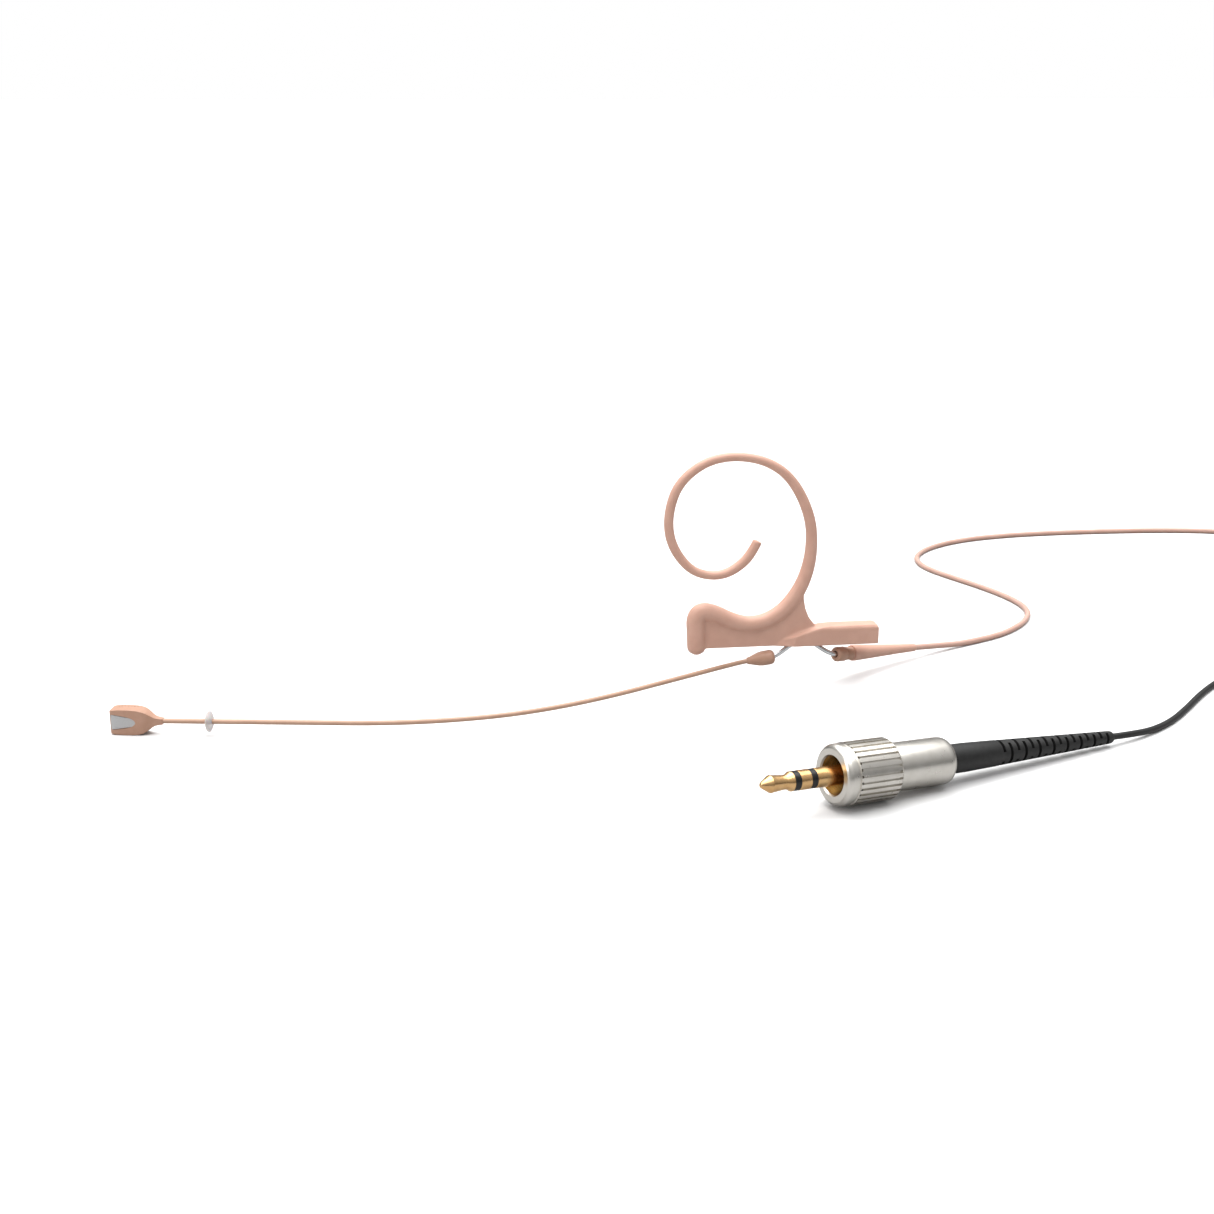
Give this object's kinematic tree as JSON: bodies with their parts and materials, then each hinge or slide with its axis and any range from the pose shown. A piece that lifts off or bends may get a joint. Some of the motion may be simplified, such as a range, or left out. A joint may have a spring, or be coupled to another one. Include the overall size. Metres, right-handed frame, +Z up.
{
  "type": "headset microphone",
  "caption": "Slim single-ear headset microphone with bent boom, flat capsule head, soft ear hook, thin lead and locking round plug.",
  "frame": {"origin": "on the surface it lies on, under the middle of the microphone's box, measured without the lead, coupler and plug", "axes": "+Z up; +X from the capsule head towards the ear hook, in the plane of the ear hook; +Y towards the back"},
  "size_m": [0.2973, 0.1815, 0.0493],
  "materials": {
    "beige_housing": "smooth satin moulded plastic, skin tone",
    "beige_soft": "soft satin elastomer, skin tone",
    "beige_jacket": "thin matte cable jacket, skin tone",
    "beige_metal": "lacquered tube, skin tone",
    "mesh": "fine woven wire mesh, grey",
    "clear_soft": "translucent milky silicone",
    "steel": "polished stainless tube",
    "spring_steel": "drawn wire",
    "capsule_metal": "turned can",
    "board": "coated circuit board",
    "felt": "acoustic felt",
    "copper_core": "stranded conductor, simplified as one solid",
    "gold": "gold plating on brass",
    "nickel": "satin nickel plating, slightly warm",
    "black_plastic": "black insulator",
    "black_soft": "black moulded boot",
    "black_jacket": "black cable jacket"
  },
  "bodies": {
    "microphone": {"head_front": "beige_housing", "head_rear": "beige_housing", "head_gasket": "black_plastic", "head_mesh": "mesh", "capsule": "capsule_metal", "capsule_felt": "felt", "capsule_board": "board", "head_collar": "beige_housing", "boom_tube": "beige_metal", "boom_conductor": "copper_core", "boom_sleeve": "beige_housing", "sleeve_crimp": "steel", "hanger": "steel", "relief_ring": "beige_housing", "relief_bush": "beige_housing", "relief_crimp": "steel", "relief_cone": "beige_soft", "relief_lead": "beige_jacket", "lead": "beige_jacket", "lead_coil": "beige_jacket", "lead_tail": "beige_jacket", "coil_tie": "black_soft", "coupler_boot_front": "black_soft", "coupler_plug_shell": "nickel", "coupler_plug_core": "black_plastic", "coupler_pin": "gold", "coupler_socket_shell": "nickel", "coupler_socket_core": "black_plastic", "coupler_boot_rear": "beige_soft", "plug_lead": "black_jacket", "plug_tip": "gold", "plug_insulator_tip": "black_plastic", "plug_ring": "gold", "plug_insulator_sleeve": "black_plastic", "plug_sleeve": "gold", "plug_terminals": "black_plastic", "plug_shell": "nickel", "plug_clamp": "steel", "plug_boot": "black_soft", "plug_stub": "black_jacket"},
    "ear_hook": {"ear_hook": "beige_soft", "hook_wire": "spring_steel", "hook_clip": "beige_housing"},
    "stop": {"sweat_stop": "clear_soft"},
    "lock_ring": {"plug_lock_ring": "nickel"},
    "coupler_nut": {"coupler_nut": "nickel"}
  },
  "joints": [
    {"name": "hook_swivel", "type": "hinge", "parent": "microphone", "child": "ear_hook", "pos_m": [0.0552, 0.00525, 0.0092], "axis": [1, 0, 0], "range_deg": [-25, 25]},
    {"name": "stop_slide", "type": "slide", "parent": "microphone", "child": "stop", "axis": [0.977, -0.2124, 0.02], "range_m": [-0.0075, 0.018]},
    {"name": "lock_ring_turn", "type": "hinge", "parent": "microphone", "child": "lock_ring", "pos_m": [0.0447, -0.0592, 0.00628], "axis": [0.9374, 0.3412, -0.0698], "continuous": true},
    {"name": "coupler_nut_turn", "type": "hinge", "parent": "microphone", "child": "coupler_nut", "pos_m": [0.166, 0.0143, 0.0023], "axis": [0.5, 0.866, 0], "continuous": true}
  ]
}
